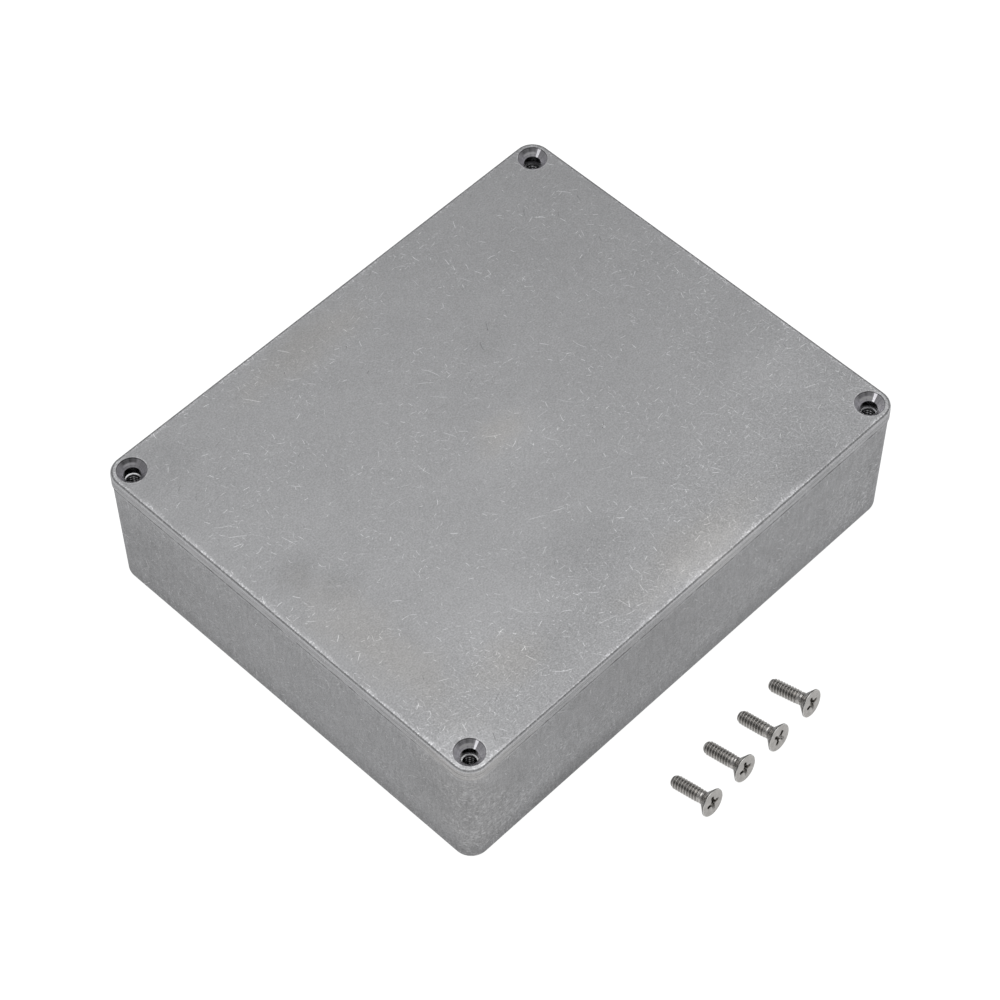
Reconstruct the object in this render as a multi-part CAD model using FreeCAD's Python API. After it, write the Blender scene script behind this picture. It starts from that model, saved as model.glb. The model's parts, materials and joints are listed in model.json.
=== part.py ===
import FreeCAD, Part
import math
import os

# Die cast aluminium box: a deep base casting, a flat lid casting that laps inside its walls,
# and the four countersunk lid screws, which are out and lie beside the box.
# Millimetres. +Z is up, X runs along the long side, and the origin is the middle of the underside.

# Outside of the box, with the length and width at the seam between base and lid
LENGTH = 145.0
WIDTH = 121.0
HEIGHT = 39.3
LID_EDGE = 4.0
CORNER_R = 4.8
OUTER_DRAFT_DEG = 0.8
BOTTOM_EDGE_R = 1.2
LID_TOP_EDGE_R = 0.8
LID_PROUD = 0.25
SEAM_BEVEL = 0.15

# Inside of the castings
WALL = 2.3
FLOOR = 2.4
LID_PLATE = 2.3
CORE_DRAFT_DEG = 1.0
CORE_CORNER_R = 0.8
CORE_FLOOR_BEVEL = 0.6

# Tongue of the lid, which drops inside the walls and passes round the screw bosses
TONGUE_DROP = 1.6
TONGUE_WALL = 1.3
TONGUE_CLEARANCE = 0.25

# Lid screws: flat countersunk head with a cross recess
SCREW_D = 3.5
SCREW_LENGTH = 11.85
SCREW_TIP_LENGTH = 1.2
SCREW_TIP_D = 2.1
HEAD_D = 7.25
HEAD_LAND = 0.4
HEAD_EDGE_BEVEL = 0.12
HEAD_ANGLE_DEG = 90.0
RECESS_SPAN = 3.9
RECESS_WING = 0.85
RECESS_DEPTH = 1.9
RECESS_FOOT = 1.2

# Screw bosses and holes: the same axis serves the lid's hole and the base's tapped hole
SCREW_INSET = 4.85
BOSS_R = 4.2
HEAD_CLEARANCE_D = 0.2
SINK_STEP = 0.15
LID_HOLE_CLEARANCE_D = 0.7
THREAD_HEIGHT = 0.35
TAP_DEPTH = 15.0
TAP_POINT_DEG = 118.0
TAP_MOUTH_BEVEL = 0.35

# The loose screws: distance along X, distance of the head out from the box's long side,
# bearing from head to tip, and the turn of the cross recess, all in millimetres and degrees
LOOSE_SCREWS = (
    (-22.9, 29.4, 94.1, 2.0),
    (-10.8, 28.6, 93.7, 4.0),
    (1.0, 28.65, 93.7, 45.0),
    (13.45, 27.85, 97.2, -3.0),
)

# Planes and centres that follow from the sizes above
SEAM_Z = HEIGHT - LID_EDGE
PLATE_UNDERSIDE_Z = HEIGHT - LID_PLATE
TONGUE_Z = SEAM_Z - TONGUE_DROP
SCREW_X = LENGTH / 2 - SCREW_INSET
SCREW_Y = WIDTH / 2 - SCREW_INSET
UP = FreeCAD.Vector(0, 0, 1)

# How far from a plane an edge may lie and still count as in it
FLAT_TOL = 0.01


def inset_by_draft(height, angle_deg):
    """How far a drafted wall leans over this height."""
    return height * math.tan(math.radians(angle_deg))


def point(x, y, z=0.0):
    return FreeCAD.Vector(x, y, z)


def corner_arc(centre, radius, start_deg, end_deg):
    """A plan arc about a centre, from one bearing to another."""
    bearings = (start_deg, (start_deg + end_deg) / 2, end_deg)
    on_arc = [
        centre + point(radius * math.cos(math.radians(b)), radius * math.sin(math.radians(b)))
        for b in bearings
    ]
    return Part.Arc(*on_arc).toShape()


def core_outline(inset, z):
    """Inner outline at height z: the wall's inner face, moved in by inset, passing round the bosses."""
    hx = LENGTH / 2 - WALL - inset
    hy = WIDTH / 2 - WALL - inset
    boss = BOSS_R + inset
    r = CORE_CORNER_R
    arcs = []
    for turn, (sx, sy) in enumerate(((1, 1), (-1, 1), (-1, -1), (1, -1))):
        start_deg = turn * 90
        beside_x = point(sx * (hx - r), sy * (SCREW_Y - boss - r), z)
        beside_y = point(sx * (SCREW_X - boss - r), sy * (hy - r), z)
        round_boss = corner_arc(point(sx * SCREW_X, sy * SCREW_Y, z), boss, start_deg + 270, start_deg + 180)
        first, last = (beside_x, beside_y) if sx * sy > 0 else (beside_y, beside_x)
        arcs.append(corner_arc(first, r, start_deg, start_deg + 90))
        arcs.append(round_boss)
        arcs.append(corner_arc(last, r, start_deg, start_deg + 90))
    edges = []
    for this, following in zip(arcs, arcs[1:] + arcs[:1]):
        edges.append(this)
        edges.append(Part.makeLine(this.lastVertex(True).Point, following.firstVertex(True).Point))
    return Part.Wire(edges)


def prism(wire, height):
    return Part.Face(wire).extrude(UP * height)


def drafted_block(half_x, half_y, lean, foot_z, top_z):
    """A block with these half sizes at its top and narrower by lean on each side at its foot."""
    block = Part.makeWedge(
        lean - half_x, foot_z, lean - half_y, -half_y, -half_x,
        half_x - lean, top_z, half_y - lean, half_y, half_x,
    )
    block.rotate(point(0, 0), point(1, 0), 90)
    return block


def upright_edges(shape):
    return [e for e in shape.Edges if e.BoundBox.ZLength > shape.BoundBox.ZLength / 2]


def edges_at(shape, z):
    """The edges of a shape that lie flat at height z."""
    flat = [e for e in shape.Edges if e.BoundBox.ZLength < FLAT_TOL]
    return [e for e in flat if abs(e.BoundBox.Center.z - z) < FLAT_TOL]


def at_each_screw(shape):
    """One copy of a tool, drawn about the Z axis, at each of the four screw axes."""
    copies = []
    for sx in (-1, 1):
        for sy in (-1, 1):
            copy = shape.copy()
            copy.translate(point(sx * SCREW_X, sy * SCREW_Y))
            copies.append(copy)
    return copies


def boss_blocks():
    """The four corner bosses as blocks: round on the inside, square out past the corner of the box."""
    side = BOSS_R + SCREW_INSET
    block = Part.makeBox(side, side, SEAM_Z, point(-BOSS_R, -BOSS_R))
    inner_edge = [
        e for e in upright_edges(block)
        if e.BoundBox.XMax < 0 and e.BoundBox.YMax < 0
    ]
    block = block.makeFillet(BOSS_R, inner_edge)
    blocks = []
    for quarter, (sx, sy) in enumerate(((1, 1), (-1, 1), (-1, -1), (1, -1))):
        copy = block.copy()
        copy.rotate(point(0, 0), UP, quarter * 90)
        copy.translate(point(sx * SCREW_X, sy * SCREW_Y))
        blocks.append(copy)
    return blocks


def make_core():
    """The hollow of the base: drafted walls, notched round the bosses, with its inner edges rounded."""
    lean = inset_by_draft(SEAM_Z - FLOOR, CORE_DRAFT_DEG)
    core = drafted_block(LENGTH / 2 - WALL, WIDTH / 2 - WALL, lean, FLOOR, SEAM_Z)
    core = core.cut(boss_blocks())
    beside_bosses = [
        e for e in upright_edges(core)
        if abs(e.BoundBox.Center.x) > SCREW_X + FLAT_TOL or abs(e.BoundBox.Center.y) > SCREW_Y + FLAT_TOL
    ]
    core = core.makeFillet(CORE_CORNER_R, beside_bosses)
    return core.makeChamfer(CORE_FLOOR_BEVEL, edges_at(core, FLOOR))


def make_base():
    """Open casting: drafted walls, flat floor and a full-height boss at each screw."""
    lean = inset_by_draft(SEAM_Z, OUTER_DRAFT_DEG)
    body = drafted_block(LENGTH / 2, WIDTH / 2, lean, 0.0, SEAM_Z)
    body = body.makeFillet(CORNER_R, upright_edges(body))
    body = body.makeFillet(BOTTOM_EDGE_R, edges_at(body, 0.0))
    body = body.makeChamfer(SEAM_BEVEL, edges_at(body, SEAM_Z))

    tap_r = SCREW_D / 2 - THREAD_HEIGHT
    tap_point = tap_r / math.tan(math.radians(TAP_POINT_DEG / 2))
    drill = Part.makeCylinder(tap_r, TAP_DEPTH, point(0, 0, SEAM_Z - TAP_DEPTH))
    drill_point = Part.makeCone(0, tap_r, tap_point, point(0, 0, SEAM_Z - TAP_DEPTH - tap_point))
    mouth_r = tap_r + TAP_MOUTH_BEVEL
    mouth = Part.makeCone(tap_r, mouth_r, TAP_MOUTH_BEVEL, point(0, 0, SEAM_Z - TAP_MOUTH_BEVEL))
    return body.cut([make_core()] + at_each_screw(drill.fuse([drill_point, mouth])))


def make_lid():
    """Flat casting with a full-depth rim and corner pads, a recessed underside and a locating tongue."""
    plate = drafted_block(LENGTH / 2 + LID_PROUD, WIDTH / 2 + LID_PROUD, 0.0, SEAM_Z, HEIGHT)
    plate = plate.makeFillet(CORNER_R + LID_PROUD, upright_edges(plate))
    plate = plate.makeFillet(LID_TOP_EDGE_R, edges_at(plate, HEIGHT))
    plate = plate.makeChamfer(SEAM_BEVEL, edges_at(plate, SEAM_Z))
    tongue = prism(core_outline(TONGUE_CLEARANCE, TONGUE_Z), TONGUE_DROP)
    recess = prism(core_outline(TONGUE_CLEARANCE + TONGUE_WALL, TONGUE_Z), PLATE_UNDERSIDE_Z - TONGUE_Z)

    hole_r = (SCREW_D + LID_HOLE_CLEARANCE_D) / 2
    sink_r = (HEAD_D + HEAD_CLEARANCE_D) / 2
    sink_depth = (sink_r - hole_r) / math.tan(math.radians(HEAD_ANGLE_DEG / 2))
    bore = Part.makeCylinder(hole_r, HEIGHT - SEAM_Z, point(0, 0, SEAM_Z))
    sink = Part.makeCone(hole_r, sink_r, sink_depth, point(0, 0, HEIGHT - SINK_STEP - sink_depth))
    step = Part.makeCylinder(sink_r, SINK_STEP, point(0, 0, HEIGHT - SINK_STEP))
    return plate.fuse(tongue).cut([recess] + at_each_screw(bore.fuse([sink, step])))


def recess_wing():
    """One wing of the cross recess: wide at the head's face, narrow at its foot, cut along +X."""
    half_span = RECESS_SPAN / 2
    half_foot = RECESS_FOOT / 2
    half_wing = RECESS_WING / 2
    corners = [
        point(0, -half_wing, -half_span),
        point(0, -half_wing, half_span),
        point(RECESS_DEPTH, -half_wing, half_foot),
        point(RECESS_DEPTH, -half_wing, -half_foot),
    ]
    return Part.Face(Part.makePolygon(corners + corners[:1])).extrude(point(0, RECESS_WING, 0))


def make_screw():
    """One screw along +X: head face at the origin, tip at SCREW_LENGTH."""
    head_r = HEAD_D / 2
    shank_r = SCREW_D / 2
    cone_end = HEAD_LAND + (head_r - shank_r) / math.tan(math.radians(HEAD_ANGLE_DEG / 2))
    profile = [
        point(0, 0),
        point(0, head_r - HEAD_EDGE_BEVEL),
        point(HEAD_EDGE_BEVEL, head_r),
        point(HEAD_LAND, head_r),
        point(cone_end, shank_r),
        point(SCREW_LENGTH - SCREW_TIP_LENGTH, shank_r),
        point(SCREW_LENGTH, SCREW_TIP_D / 2),
        point(SCREW_LENGTH, 0),
    ]
    blank = Part.Face(Part.makePolygon(profile + profile[:1])).revolve(point(0, 0), point(1, 0), 360)
    upright = recess_wing()
    level = recess_wing()
    level.rotate(point(0, 0), point(1, 0), 90)
    return blank.cut([upright, level])


def lay_on_floor(screw, x, out_from_side, bearing_deg, recess_turn_deg):
    """Rest a screw on its head's rim and its tip, as it comes to lie when it is put down."""
    head_r = HEAD_D / 2
    shank_r = SCREW_D / 2
    reach = SCREW_LENGTH - SCREW_TIP_LENGTH - HEAD_LAND
    tilt = math.atan2(head_r - shank_r, reach)
    height = HEAD_LAND * math.sin(tilt) + head_r * math.cos(tilt)
    laid = screw.copy()
    laid.rotate(point(0, 0), point(1, 0), recess_turn_deg)
    laid.rotate(point(0, 0), point(0, 1), math.degrees(tilt))
    laid.rotate(point(0, 0), UP, bearing_deg)
    laid.translate(point(x, -WIDTH / 2 - out_from_side, height))
    return laid


def export(shape, node):
    shape.exportStep("parts/" + node + ".step")
    print(node, "solids", len(shape.Solids), "valid", shape.isValid(), "volume mm3", round(shape.Volume, 1))


os.makedirs("parts", exist_ok=True)
export(make_base(), "box_base")
export(make_lid(), "box_lid")
lid_screw = make_screw()
for number, place in enumerate(LOOSE_SCREWS, 1):
    export(lay_on_floor(lid_screw, *place), "lid_screw_" + str(number))
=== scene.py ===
import json
import math

import bmesh
import bpy
from mathutils import Matrix, Vector


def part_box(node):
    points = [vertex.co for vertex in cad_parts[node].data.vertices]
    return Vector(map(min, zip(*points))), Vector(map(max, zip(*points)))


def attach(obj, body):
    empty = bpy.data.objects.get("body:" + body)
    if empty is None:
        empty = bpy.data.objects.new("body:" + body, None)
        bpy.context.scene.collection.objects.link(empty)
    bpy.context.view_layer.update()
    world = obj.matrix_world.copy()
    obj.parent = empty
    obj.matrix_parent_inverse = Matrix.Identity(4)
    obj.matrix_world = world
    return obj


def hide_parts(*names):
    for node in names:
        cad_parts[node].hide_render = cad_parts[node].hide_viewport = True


# Looks of the die cast aluminium box: tumbled castings with worn rims, machined countersinks,
# tapped holes with real threads, and four bright screws with rolled threads beside the box.
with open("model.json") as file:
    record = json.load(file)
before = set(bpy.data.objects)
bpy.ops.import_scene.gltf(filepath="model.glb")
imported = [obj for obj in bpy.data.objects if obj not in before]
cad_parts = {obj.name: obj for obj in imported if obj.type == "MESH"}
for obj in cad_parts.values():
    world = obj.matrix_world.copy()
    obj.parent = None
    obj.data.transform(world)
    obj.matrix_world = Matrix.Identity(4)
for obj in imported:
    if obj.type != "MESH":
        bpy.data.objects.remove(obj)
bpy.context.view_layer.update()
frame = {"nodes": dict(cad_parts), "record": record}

MM = 0.001
IN_PLAN = (1.0, 1.0, 0.0)

# Form of a loose screw, in millimetres, degrees and shares of a turn of its thread
SCREW_FORM = {
    "Sides": 60,
    "Rows a turn": 14,
    "Length": 11.85,
    "Tip length": 1.2,
    "Tip radius": 1.05,
    "Thread radius": 1.75,
    "Pitch": 0.794,
    "Depth": 0.4,
    "Neck radius": 1.62,
    "Run out": 2.4,
    "Unevenness": 0.22,
    "Head radius": 3.62,
    "Head land": 0.4,
    "Head edge bevel": 0.12,
    "Head angle": 90.0,
    "Recess span": 3.9,
    "Recess wing": 0.95,
    "Recess depth": 1.9,
    "Recess foot": 1.2,
    "Recess core": 1.1,
}

# Where each loose screw lies: along X, head out from the box's long side, bearing from head to tip
# and turn of the recess, in millimetres and degrees, as in the solids
LOOSE_SCREWS = (
    (-22.9, 29.4, 94.1, 2.0),
    (-10.8, 28.6, 93.7, 4.0),
    (1.0, 28.65, 93.7, 45.0),
    (13.45, 27.85, 97.2, -3.0),
)

# Form of the threads in the tapped holes, in millimetres
TAP_FORM = {
    "Sides": 48,
    "Rows a turn": 12,
    "Thread length": 11.0,
    "Above seam": 0.4,
    "Thread radius": 1.76,
    "Pitch": 0.794,
    "Depth": 0.34,
    "Neck radius": 1.38,
}

# Sizes of the castings, in millimetres, read from the frame
lid_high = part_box("box_lid")[1] / MM
LID_TOP_Z = lid_high.z
SEAM_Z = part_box("box_base")[1].z / MM
LID_HALF_X = lid_high.x
LID_HALF_Y = lid_high.y
BASE_HALF_Y = 60.5
LID_CORNER_R = 5.05
mounts = {m["name"]: m for m in frame["record"]["mounts"]}
hole_dims = mounts["lid_screw_holes"]["dims"]
SCREW_X = hole_dims["spacing_x_mm"] / 2
SCREW_Y = hole_dims["spacing_y_mm"] / 2
TAP_PLACES = {"Seam height": SEAM_Z, "Spacing X": SCREW_X * 2, "Spacing Y": SCREW_Y * 2}
SINK_R = 3.725
SINK_STEP = 0.15
BORE_R = hole_dims["hole_r_mm"]
BORE_TOP_Z = LID_TOP_Z - SINK_STEP - (SINK_R - BORE_R) / math.tan(math.radians(SCREW_FORM["Head angle"] / 2))

# Camera, fitted to the outline: bearing and height in degrees, distances in millimetres
CAMERA_AZIMUTH_DEG = -45.2987
CAMERA_ELEVATION_DEG = 54.128
CAMERA_ROLL_DEG = -0.4656
CAMERA_DISTANCE = 829.22
CAMERA_TARGET = Vector((-3.7914, -2.5847, 20.0))
CAMERA_LENS = 124.52
CAMERA_SENSOR = 36.0


class Tree:
    """A node tree under construction: adds nodes, sets what they are and feeds their inputs."""

    def __init__(self, tree):
        self.tree = tree

    def add(self, kind, inputs=None, **settings):
        node = self.tree.nodes.new(kind)
        for name, value in settings.items():
            setattr(node, name, value)
        for key, value in (inputs or {}).items():
            self.feed(node.inputs[key], value)
        return node

    def feed(self, socket, value):
        if isinstance(value, list):
            for each in value:
                self.tree.links.new(each, socket)
        elif isinstance(value, bpy.types.NodeSocket):
            self.tree.links.new(value, socket)
        else:
            socket.default_value = value

    def math(self, operation, *values, clamp=False):
        node = self.add("ShaderNodeMath", dict(enumerate(values)), operation=operation)
        node.use_clamp = clamp
        return node.outputs[0]

    def plus(self, a, b, clamp=False):
        return self.math("ADD", a, b, clamp=clamp)

    def minus(self, a, b):
        return self.math("SUBTRACT", a, b)

    def over(self, a, b):
        return self.math("DIVIDE", a, b)

    def times(self, product, *factors):
        for factor in factors:
            product = self.math("MULTIPLY", product, factor)
        return product

    def times_plus(self, value, factor, base):
        """The value times the factor, added to the base."""
        return self.math("MULTIPLY_ADD", value, factor, base)

    def vector(self, operation, *values):
        node = self.add("ShaderNodeVectorMath", operation=operation)
        for key, value in enumerate(values):
            self.feed(node.inputs[key], value)
        return node.outputs["Value" if operation in ("LENGTH", "DOT_PRODUCT", "DISTANCE") else "Vector"]

    def scaled(self, vector, factor):
        node = self.add("ShaderNodeVectorMath", {"Vector": vector, "Scale": factor}, operation="SCALE")
        return node.outputs["Vector"]

    def ramp(self, value, start, end, low=0.0, high=1.0, form="SMOOTHSTEP"):
        """Runs from low to high as the value goes from start to end."""
        node = self.add("ShaderNodeMapRange", interpolation_type=form)
        names = ("Value", "From Min", "From Max", "To Min", "To Max")
        for name, given in zip(names, (value, start, end, low, high)):
            self.feed(node.inputs[name], given)
        return node.outputs["Result"]

    def parts(self, vector):
        return self.add("ShaderNodeSeparateXYZ", {"Vector": vector}).outputs

    def joined(self, x, y, z=0.0):
        return self.add("ShaderNodeCombineXYZ", {"X": x, "Y": y, "Z": z}).outputs["Vector"]

    def noise(self, place, per_mm, detail=2.0, roughness=0.5, distortion=0.0):
        inputs = {"Vector": place, "Scale": per_mm, "Detail": detail}
        inputs.update({"Roughness": roughness, "Distortion": distortion})
        return self.add("ShaderNodeTexNoise", inputs).outputs["Fac"]

    def swing(self, value):
        """A noise value as a swing about nought, from about -1 to 1."""
        return self.math("MULTIPLY_ADD", value, 2.0, -1.0)

    def mix(self, share, a, b):
        """Goes from a to b, which are both colours or both numbers."""
        colour = isinstance(a, tuple) or isinstance(b, tuple) or getattr(a, "type", "") in ("RGBA", "VECTOR")
        node = self.add("ShaderNodeMix", data_type="RGBA" if colour else "FLOAT")
        used = {s.name: s for s in node.inputs if s.enabled}
        self.feed(used["Factor"], share)
        self.feed(used["A"], a)
        self.feed(used["B"], b)
        return next(s for s in node.outputs if s.enabled)

    def group(self, made, **inputs):
        kind = "ShaderNodeGroup" if self.tree.type == "SHADER" else "GeometryNodeGroup"
        node = self.add(kind, node_tree=made)
        for name, value in inputs.items():
            self.feed(node.inputs[name.replace("_", " ").capitalize()], value)
        return node.outputs


def new_group(name, inputs, outputs, kind="ShaderNodeTree"):
    """An empty node group, its tree, and the sockets of its input and output nodes.

    Each socket is given by its kind, or by its usual value: a whole number for a count, and any other
    number for a length, an angle or a share.
    """
    made = bpy.data.node_groups.new(name, kind)
    for direction, sockets in (("INPUT", inputs), ("OUTPUT", outputs)):
        for socket_name, usual in sockets.items():
            number_kind = {int: "Int", float: "Float"}.get(type(usual))
            full_kind = "NodeSocket" + (number_kind or usual)
            socket = made.interface.new_socket(socket_name, in_out=direction, socket_type=full_kind)
            if number_kind:
                socket.default_value = usual
    tree = Tree(made)
    given = tree.add("NodeGroupInput").outputs
    result = tree.add("NodeGroupOutput").inputs
    return made, tree, given, result


# Threads, screws and tapped holes

# Shares of the pitch that are flat at the root and the crest, how roundly the tip swells, lumps of the
# neck in a millimetre, the length on which they begin, and how near points are joined, in millimetres
ROOT_FLAT = 0.25
CREST_FLAT = 0.125
TIP_SWELL = 0.65
LUMPS_PER_MM = 1.3
LUMPS_BEGIN_WITHIN = 0.4
JOIN_WITHIN = 0.0001


def thread_group():
    """The skin of a right-hand thread along +X: an uneven neck, full turns and a rounded end."""
    inputs = {
        "Start": 0.0, "End": 10.0, "Pitch": 0.8, "Thread radius": 1.75, "Depth": 0.45, "Neck radius": 1.6,
        "Run out": 1.0, "Tip length": 1.0, "Tip radius": 1.0, "Unevenness": 0.0, "Phase": 0.0,
        "Sides": 60, "Rows a turn": 12, "Seed": 0.0,
    }
    made, tree, given, result = new_group("helical_thread", inputs, {"Mesh": "Geometry"}, "GeometryNodeTree")
    length = tree.minus(given["End"], given["Start"])
    turns = tree.plus(tree.math("CEIL", tree.over(length, given["Pitch"])), 2.0)
    columns = tree.plus(given["Sides"], 1.0)
    rows = tree.times_plus(turns, given["Rows a turn"], 1.0)
    grid = flat_grid(tree, 1.0, 1.0, columns, rows)
    x, y, _ = tree.parts(tree.add("GeometryNodeInputPosition").outputs["Position"])
    turn = tree.plus(x, 0.5)
    row = tree.times(tree.plus(y, 0.5), turns)
    ahead = tree.minus(tree.plus(row, turn), tree.plus(given["Phase"], 1.0))
    along = tree.times_plus(ahead, given["Pitch"], given["Start"])
    along = tree.math("MINIMUM", tree.math("MAXIMUM", along, given["Start"]), given["End"])
    from_root = tree.math("ABSOLUTE", tree.swing(tree.math("FRACT", row)))
    crest = tree.ramp(from_root, ROOT_FLAT, 1.0 - CREST_FLAT, form="LINEAR")
    angle = tree.times(turn, math.tau)
    cosine = tree.math("COSINE", angle)
    sine = tree.math("SINE", angle)
    around = tree.joined(along, cosine, sine)
    inputs = {"Vector": around, "W": given["Seed"], "Scale": LUMPS_PER_MM, "Detail": 2.0}
    lumps = tree.add("ShaderNodeTexNoise", inputs, noise_dimensions="4D").outputs["Fac"]
    past_start = tree.minus(along, given["Start"])
    uneven = tree.times(tree.ramp(past_start, 0.0, LUMPS_BEGIN_WITHIN), given["Unevenness"])
    neck = tree.times_plus(tree.swing(lumps), uneven, given["Neck radius"])
    grooved = tree.times(given["Depth"], tree.minus(1.0, crest))
    full = tree.minus(given["Thread radius"], grooved)
    run_in = tree.ramp(past_start, 0.0, given["Run out"])
    radius = tree.mix(run_in, neck, full)
    to_end = tree.over(tree.minus(given["End"], along), given["Tip length"])
    swell = tree.math("POWER", tree.math("MINIMUM", to_end, 1.0), TIP_SWELL)
    radius = tree.math("MINIMUM", radius, tree.mix(swell, given["Tip radius"], given["Thread radius"]))
    groove = tree.times(run_in, tree.minus(1.0, crest))
    noted = stored(tree, grid, "groove", groove, "FLOAT")
    place = tree.joined(along, tree.times(radius, cosine), tree.times(radius, sine))
    rolled = tree.add("GeometryNodeSetPosition", {"Geometry": noted, "Position": place}).outputs["Geometry"]
    tree.feed(result["Mesh"], merged(tree, rolled))
    return made


def flat_grid(tree, size_x, size_y, count_x, count_y):
    inputs = {"Size X": size_x, "Size Y": size_y, "Vertices X": count_x, "Vertices Y": count_y}
    return tree.add("GeometryNodeMeshGrid", inputs).outputs["Mesh"]


def stored(tree, geometry, name, value, kind):
    """Notes a value at each point, for the finish to read."""
    inputs = {"Geometry": geometry, "Name": name, "Value": value}
    node = tree.add("GeometryNodeStoreNamedAttribute", inputs, data_type=kind, domain="POINT")
    return node.outputs["Geometry"]


def merged(tree, geometry):
    node = tree.add("GeometryNodeMergeByDistance", {"Geometry": geometry, "Distance": JOIN_WITHIN})
    return node.outputs["Geometry"]


def moved(tree, geometry, translation=(0.0, 0.0, 0.0), rotation=(0.0, 0.0, 0.0)):
    inputs = {"Geometry": geometry, "Translation": translation, "Rotation": rotation}
    return tree.add("GeometryNodeTransform", inputs).outputs["Geometry"]


def cone(tree, sides, foot_r, top_r, length, ends):
    inputs = {"Vertices": sides, "Side Segments": 1}
    inputs.update({"Radius Top": top_r, "Radius Bottom": foot_r, "Depth": length})
    return tree.add("GeometryNodeMeshCone", inputs, fill_type=ends).outputs["Mesh"]


def frustum(tree, sides, foot_r, top_r, start, length):
    """The open side of a cone about Z, with its foot at this height."""
    side = cone(tree, sides, foot_r, top_r, length, "NONE")
    return moved(tree, side, translation=tree.joined(0.0, 0.0, start))


def disc(tree, sides, radius, height, faces_down=False):
    """A flat disc about Z at this height."""
    inputs = {"Vertices": sides, "Radius": radius}
    face = tree.add("GeometryNodeMeshCircle", inputs, fill_type="NGON").outputs["Mesh"]
    if faces_down:
        face = tree.add("GeometryNodeFlipFaces", {"Mesh": face}).outputs["Mesh"]
    return moved(tree, face, translation=tree.joined(0.0, 0.0, height))


def together(tree, pieces):
    return tree.add("GeometryNodeJoinGeometry", {"Geometry": pieces}).outputs["Geometry"]


def cut(tree, body, cutters):
    inputs = {"Mesh 1": body, "Mesh 2": cutters}
    node = tree.add("GeometryNodeMeshBoolean", inputs, operation="DIFFERENCE", solver="EXACT")
    return node.outputs["Mesh"]


def finished(tree, geometry, sharp_from, material):
    """Smooth faces with sharp edges from this angle up, as one real mesh in its material."""
    inputs = {"Geometry": geometry, "Shade Smooth": True}
    smooth = tree.add("GeometryNodeSetShadeSmooth", inputs, domain="FACE")
    bend = tree.add("GeometryNodeInputMeshEdgeAngle").outputs["Unsigned Angle"]
    sharp = tree.math("GREATER_THAN", bend, tree.math("RADIANS", sharp_from))
    inputs = {"Geometry": smooth.outputs["Geometry"], "Selection": sharp, "Shade Smooth": False}
    crisp = tree.add("GeometryNodeSetShadeSmooth", inputs, domain="EDGE")
    real = tree.add("GeometryNodeRealizeInstances", {"Geometry": crisp.outputs["Geometry"]})
    inputs = {"Geometry": real.outputs["Geometry"], "Material": material}
    return tree.add("GeometryNodeSetMaterial", inputs).outputs["Geometry"]


# The cross recess, in millimetres and shares: how far its cutters stand out of the face, how much
# narrower its wings are at the foot, how far the wings come to a point, and the round core
RECESS_OVERSHOOT = 0.3
RECESS_NARROWER = -0.3
RECESS_POINT = 0.14
RECESS_CORE_SIDES = 24
RECESS_CORE_FOOT = 0.25
RECESS_CORE_DEEPER = 0.15

# Edges are sharp from these angles up, and what stands along Z is turned to lie along X
HEAD_SHARP_DEG = 60.0
THREAD_SHARP_DEG = 110.0
UPRIGHT_TO_AHEAD = (0.0, math.pi / 2, 0.0)


def recess_wing(tree, given):
    """One wing of the cross recess along +X: wide and pointed at the head's face, narrow at its foot."""
    inputs = {"Size": (1.0, 1.0, 1.0), "Vertices X": 2, "Vertices Y": 3, "Vertices Z": 2}
    block = tree.add("GeometryNodeMeshCube", inputs).outputs["Mesh"]
    x, y, z = tree.parts(tree.add("GeometryNodeInputPosition").outputs["Position"])
    length = tree.plus(given["Recess depth"], RECESS_OVERSHOOT)
    along = tree.times_plus(tree.plus(x, 0.5), length, -RECESS_OVERSHOOT)
    share = tree.over(along, given["Recess depth"])
    narrowing = tree.minus(given["Recess foot"], given["Recess span"])
    span = tree.times_plus(share, narrowing, given["Recess span"])
    width = tree.times(given["Recess wing"], tree.times_plus(share, RECESS_NARROWER, 1.0))
    middle = tree.minus(1.0, tree.times(tree.math("ABSOLUTE", y), 2.0))
    reach = tree.times(span, tree.times_plus(middle, RECESS_POINT, 1.0))
    place = tree.joined(along, tree.times(y, width), tree.times(z, reach))
    return tree.add("GeometryNodeSetPosition", {"Geometry": block, "Position": place}).outputs["Geometry"]


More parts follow.
